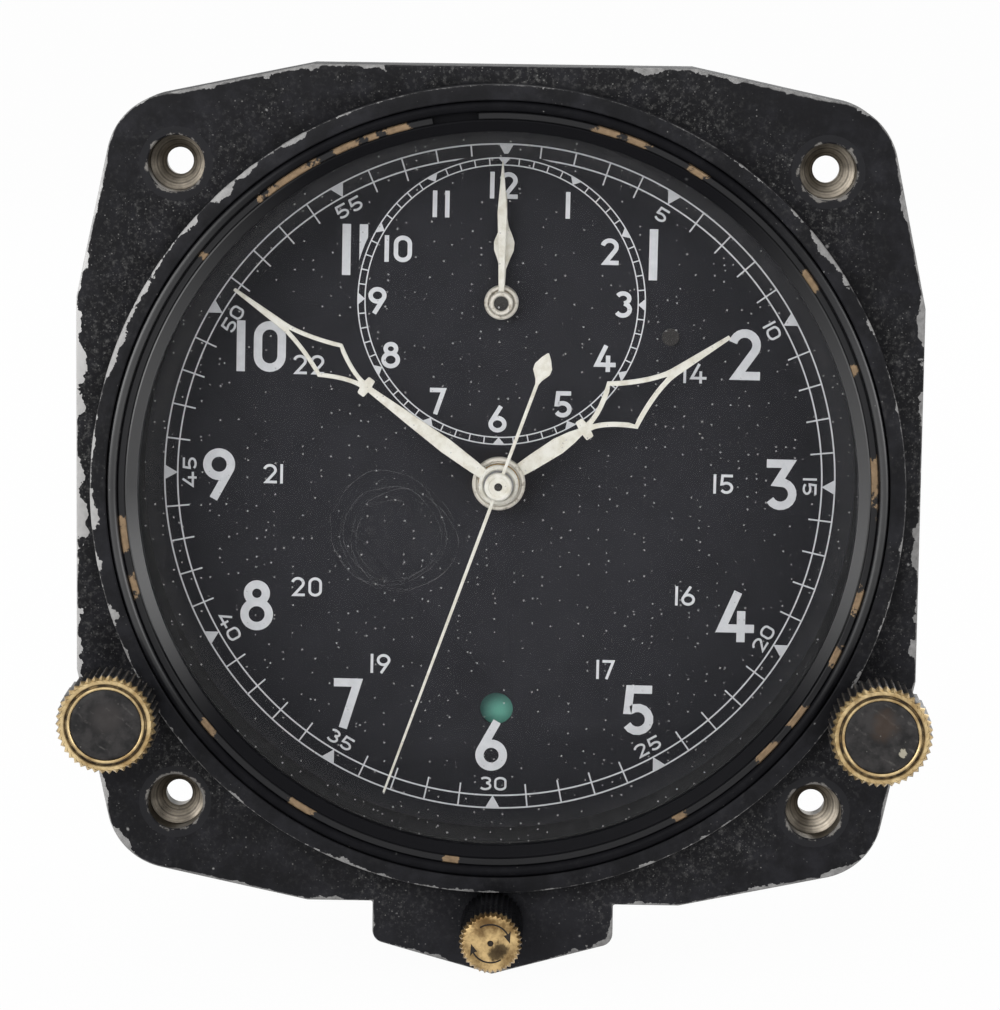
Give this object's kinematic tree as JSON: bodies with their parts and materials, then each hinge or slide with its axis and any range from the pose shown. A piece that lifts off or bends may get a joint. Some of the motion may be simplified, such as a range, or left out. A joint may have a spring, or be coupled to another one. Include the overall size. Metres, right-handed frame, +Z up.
{
  "type": "aircraft clock",
  "caption": "Panel-mounted mechanical aircraft clock: black flanged case, dial with sweep seconds and a trip-time sub-dial, two fluted pushers and a pull-out winding knob.",
  "frame": {"origin": "on the dial's axis, in the plane of the flange's back face, at the centre of the four mounting holes", "axes": "-Y points out of the dial to the viewer, +Y points back into the panel, +Z is up to twelve o'clock, +X is to three o'clock"},
  "size_m": [0.0851, 0.048, 0.0903],
  "materials": {
    "case_paint": "semi-matt black paint over aluminium, chipped to bare metal at the edges",
    "brass": "brass, tarnished where it is handled",
    "steel": "plain steel",
    "dial_paint": "matt black with printed white figures",
    "hand_paint": "cream white paint",
    "flag_paint": "matt green paint",
    "black_disc": "matt black",
    "glass": "clear flat glass",
    "seal": "matt rubber"
  },
  "bodies": {
    "case": {"case_front": "case_paint", "mounting_bushes": "steel", "glass_seal": "seal", "glass": "glass", "bezel_ring": "case_paint", "snap_ring": "brass", "dial": "dial_paint", "dial_screw": "steel", "spacer_ring": "brass", "front_plate": "brass", "back_plate": "brass", "pillars": "brass", "movement_screws": "steel", "lock_ring": "steel", "back_cover": "case_paint", "back_seal": "seal", "back_screws": "steel", "guide_bushes": "brass", "balance_cock": "brass", "click_spring": "steel", "rocker_brackets": "steel", "left_spring": "steel", "right_spring": "steel"},
    "click": {"click": "steel"},
    "minute": {"minute_hand": "hand_paint", "cannon_pinion": "steel"},
    "hour": {"hour_hand": "hand_paint", "hour_wheel": "brass"},
    "motion_wheel": {"minute_wheel": "brass"},
    "second": {"second_hand": "hand_paint", "second_arbor": "steel"},
    "trip_minute": {"trip_minute_hand": "hand_paint", "trip_arbor": "steel"},
    "trip_hour": {"trip_hour_hand": "hand_paint", "trip_hour_wheel": "brass"},
    "trip_wheel": {"trip_minute_wheel": "brass"},
    "flag": {"flag_disc": "flag_paint"},
    "left_push": {"left_pusher": "brass", "left_pusher_disc": "black_disc"},
    "left_rocker": {"left_rocker": "steel"},
    "right_push": {"right_pusher": "brass", "right_pusher_disc": "black_disc"},
    "right_rocker": {"right_rocker": "steel"},
    "stem_slide": {"stem_sleeve": "steel"},
    "winder": {"winding_knob": "brass", "winding_stem": "steel"},
    "transmission": {"transmission_wheel": "steel"},
    "ratchet": {"ratchet_wheel": "steel", "barrel_arbor": "steel"},
    "barrel": {"barrel": "brass", "mainspring": "steel"},
    "intermediate": {"intermediate_wheel": "brass"},
    "centre": {"centre_wheel": "brass"},
    "third": {"third_wheel": "brass"},
    "fourth": {"fourth_wheel": "brass"},
    "escape": {"escape_wheel": "brass"},
    "pallet": {"pallet_lever": "steel"},
    "balance": {"balance_wheel": "brass", "hairspring": "steel"}
  },
  "joints": [
    {"name": "minute_turn", "type": "hinge", "parent": "case", "child": "minute", "pos_m": [0, 0, 0], "axis": [0, 1, 0], "continuous": true},
    {"name": "hour_turn", "type": "hinge", "parent": "case", "child": "hour", "pos_m": [0, 0, 0], "axis": [0, 1, 0], "continuous": true},
    {"name": "minute_wheel_turn", "type": "hinge", "parent": "case", "child": "motion_wheel", "pos_m": [-0.00679, 0, -0.00679], "axis": [0, 1, 0], "continuous": true},
    {"name": "second_turn", "type": "hinge", "parent": "case", "child": "second", "pos_m": [0, 0, 0], "axis": [0, 1, 0], "continuous": true},
    {"name": "trip_minute_turn", "type": "hinge", "parent": "case", "child": "trip_minute", "pos_m": [0, 0, 0.0179], "axis": [0, 1, 0], "continuous": true},
    {"name": "trip_hour_turn", "type": "hinge", "parent": "case", "child": "trip_hour", "pos_m": [0, 0, 0.0179], "axis": [0, 1, 0], "continuous": true},
    {"name": "trip_wheel_turn", "type": "hinge", "parent": "case", "child": "trip_wheel", "pos_m": [-0.00679, 0, 0.02469], "axis": [0, 1, 0], "continuous": true},
    {"name": "flag_turn", "type": "hinge", "parent": "case", "child": "flag", "pos_m": [0.0046, 0, -0.0246], "axis": [0, 1, 0], "continuous": true},
    {"name": "left_push", "type": "slide", "parent": "case", "child": "left_push", "axis": [0, 1, 0], "range_m": [0, 0.0016], "stiffness_N_per_m": 300, "springref_m": -0.001, "deforming": ["left_spring"]},
    {"name": "left_rock", "type": "hinge", "parent": "case", "child": "left_rocker", "pos_m": [-0.02826, 0.0041, -0.01665], "axis": [0.5075, 0, -0.8616], "range_deg": [0, 12]},
    {"name": "right_push", "type": "slide", "parent": "case", "child": "right_push", "axis": [0, 1, 0], "range_m": [0, 0.0016], "stiffness_N_per_m": 300, "springref_m": -0.001, "deforming": ["right_spring"]},
    {"name": "right_rock", "type": "hinge", "parent": "case", "child": "right_rocker", "pos_m": [0.02826, 0.0041, -0.01665], "axis": [0.5075, 0, 0.8616], "range_deg": [0, 12]},
    {"name": "stem_pull", "type": "slide", "parent": "case", "child": "stem_slide", "axis": [0, -1, 0], "range_m": [0, 0.0016]},
    {"name": "knob_turn", "type": "hinge", "parent": "stem_slide", "child": "winder", "pos_m": [0, 0, -0.0432], "axis": [0, 1, 0], "continuous": true},
    {"name": "transmission_turn", "type": "hinge", "parent": "case", "child": "transmission", "pos_m": [0, 0, -0.0312], "axis": [0, 1, 0], "continuous": true},
    {"name": "ratchet_turn", "type": "hinge", "parent": "case", "child": "ratchet", "pos_m": [-0.00999, 0, -0.01622], "axis": [0, 1, 0], "continuous": true},
    {"name": "fourth_turn", "type": "hinge", "parent": "case", "child": "fourth", "pos_m": [0.01335, 0, 0.00571], "axis": [0, 1, 0], "continuous": true},
    {"name": "third_turn", "type": "hinge", "parent": "case", "child": "third", "pos_m": [0.00504, 0, 0.00873], "axis": [0, 1, 0], "continuous": true},
    {"name": "centre_turn", "type": "hinge", "parent": "case", "child": "centre", "pos_m": [0, 0, 0], "axis": [0, 1, 0], "continuous": true},
    {"name": "intermediate_turn", "type": "hinge", "parent": "case", "child": "intermediate", "pos_m": [-0.01034, 0, -0.00183], "axis": [0, 1, 0], "continuous": true},
    {"name": "barrel_turn", "type": "hinge", "parent": "case", "child": "barrel", "pos_m": [-0.00999, 0, -0.01622], "axis": [0, 1, 0], "continuous": true},
    {"name": "escape_turn", "type": "hinge", "parent": "case", "child": "escape", "pos_m": [0.0176, 0, -0.00166], "axis": [0, 1, 0], "continuous": true},
    {"name": "pallet_rock", "type": "hinge", "parent": "case", "child": "pallet", "pos_m": [0.01741, 0, -0.00705], "axis": [0, 1, 0], "range_deg": [-5, 5]},
    {"name": "balance_swing", "type": "hinge", "parent": "case", "child": "balance", "pos_m": [0.01717, 0, -0.01375], "axis": [0, 1, 0], "range_deg": [-140, 140], "stiffness_Nm_per_rad": 0.00001, "deforming": ["hairspring"]},
    {"name": "click_lift", "type": "hinge", "parent": "case", "child": "click", "pos_m": [-0.02206, 0, -0.01917], "axis": [0, -1, 0], "range_deg": [0, 10], "stiffness_Nm_per_rad": 0.002, "deforming": ["click_spring"]}
  ],
  "couplings": [
    {"joint": "hour_turn", "follows": "minute_turn", "ratio": 0.083333},
    {"joint": "minute_wheel_turn", "follows": "minute_turn", "ratio": -0.33333},
    {"joint": "trip_hour_turn", "follows": "trip_minute_turn", "ratio": 0.083333},
    {"joint": "trip_wheel_turn", "follows": "trip_minute_turn", "ratio": -0.33333},
    {"joint": "left_rock", "follows": "left_push", "rad_per_m": 93.811},
    {"joint": "right_rock", "follows": "right_push", "rad_per_m": 93.811},
    {"joint": "transmission_turn", "follows": "knob_turn", "ratio": -0.33333},
    {"joint": "ratchet_turn", "follows": "knob_turn", "ratio": 0.33333},
    {"joint": "third_turn", "follows": "fourth_turn", "ratio": -0.13333},
    {"joint": "centre_turn", "follows": "fourth_turn", "ratio": 0.016667},
    {"joint": "intermediate_turn", "follows": "fourth_turn", "ratio": -0.0027778},
    {"joint": "barrel_turn", "follows": "fourth_turn", "ratio": 0.00055556},
    {"joint": "escape_turn", "follows": "fourth_turn", "ratio": -10},
    {"joint": "second_turn", "follows": "fourth_turn", "ratio": 1}
  ]
}
